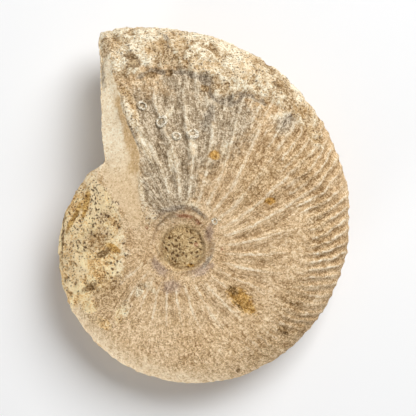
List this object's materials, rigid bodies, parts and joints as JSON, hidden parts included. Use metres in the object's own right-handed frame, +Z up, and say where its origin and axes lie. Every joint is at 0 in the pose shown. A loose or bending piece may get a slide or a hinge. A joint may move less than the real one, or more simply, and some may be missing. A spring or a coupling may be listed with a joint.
{
  "type": "ammonite fossil",
  "caption": "Involute coiled ammonite cast with branching ribs, a small open umbilicus and a broken aperture, lying on its flank.",
  "frame": {"origin": "under the middle of the fossil, on the surface that it rests on; the resting face passes through it", "axes": "+Z up through the coil, along the coiling axis; +Y towards the outer corner of the aperture; +X across the coil. Seen from above, the shell grows anticlockwise"},
  "size_m": [0.0869, 0.1067, 0.033],
  "materials": {
    "limestone": "matt, sugary and lightly worn, with cream crust"
  },
  "bodies": {
    "root": {"ammonite": "limestone"}
  },
  "joints": []
}
